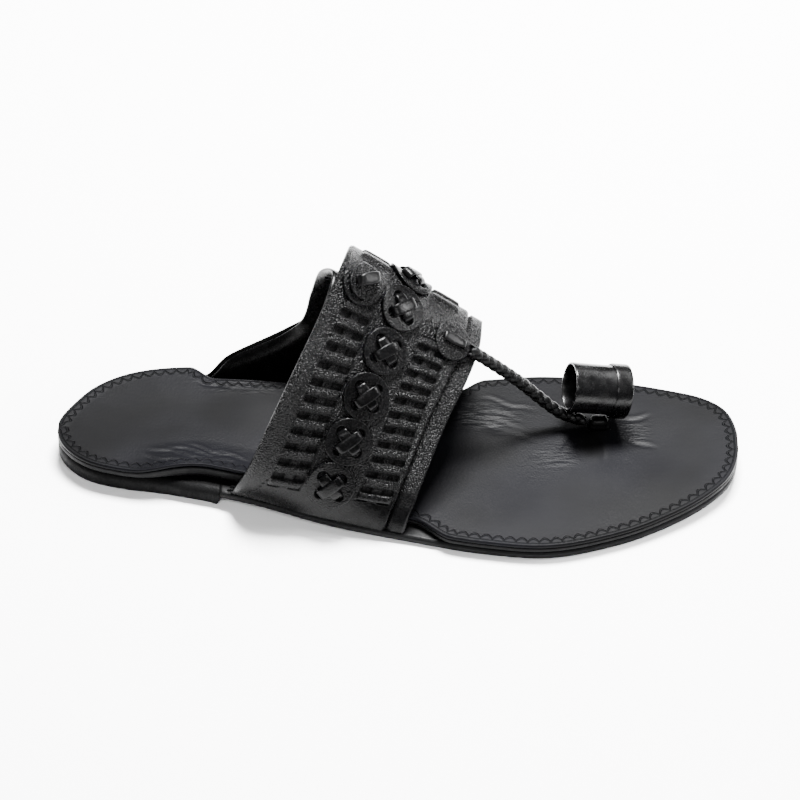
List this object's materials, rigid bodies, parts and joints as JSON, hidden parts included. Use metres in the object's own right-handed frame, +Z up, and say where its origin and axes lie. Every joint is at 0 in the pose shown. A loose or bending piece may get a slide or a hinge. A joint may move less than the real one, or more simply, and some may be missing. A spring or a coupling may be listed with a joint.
{
  "type": "toe-ring leather sandal",
  "caption": "Black leather slip-on sandal for the right foot: woven instep band with laced discs, braided cord and toe ring on a layered sole with a low heel.",
  "frame": {"origin": "on the floor under the middle of the heel", "axes": "+X from heel to toe, +Y to the inner (big toe) side, +Z up"},
  "size_m": [0.2892, 0.1108, 0.0936],
  "materials": {
    "insole_leather": "smooth black semi-gloss leather with a tooled border",
    "band_leather": "pebbled black semi-gloss leather",
    "lining_leather": "plain black satin leather",
    "thong_leather": "thin black laced and braided leather",
    "ring_leather": "polished black leather",
    "sole_edge": "painted and burnished black sole edge",
    "heel_stack": "matt black rubber heel"
  },
  "bodies": {
    "root": {"heel_block": "heel_stack", "outsole": "sole_edge", "midsole": "sole_edge", "insole": "insole_leather", "instep_lining": "lining_leather", "instep_band": "band_leather", "disc_outer_4": "band_leather", "disc_outer_3": "band_leather", "disc_outer_2": "band_leather", "disc_outer_1": "band_leather", "disc_crest": "band_leather", "disc_inner_1": "band_leather", "disc_inner_2": "band_leather", "disc_inner_3": "band_leather", "thong_outer_4": "thong_leather", "thong_outer_3": "thong_leather", "thong_outer_2": "thong_leather", "thong_outer_1": "thong_leather", "thong_crest": "thong_leather", "thong_inner_1": "thong_leather", "thong_inner_2": "thong_leather", "thong_inner_3": "thong_leather", "rear_disc": "band_leather", "rear_button": "band_leather", "rear_knot": "thong_leather", "front_disc": "band_leather", "front_bar": "thong_leather", "toe_cord": "thong_leather", "toe_ring": "ring_leather", "toe_ring_trim": "ring_leather", "toe_post": "thong_leather"}
  },
  "joints": []
}
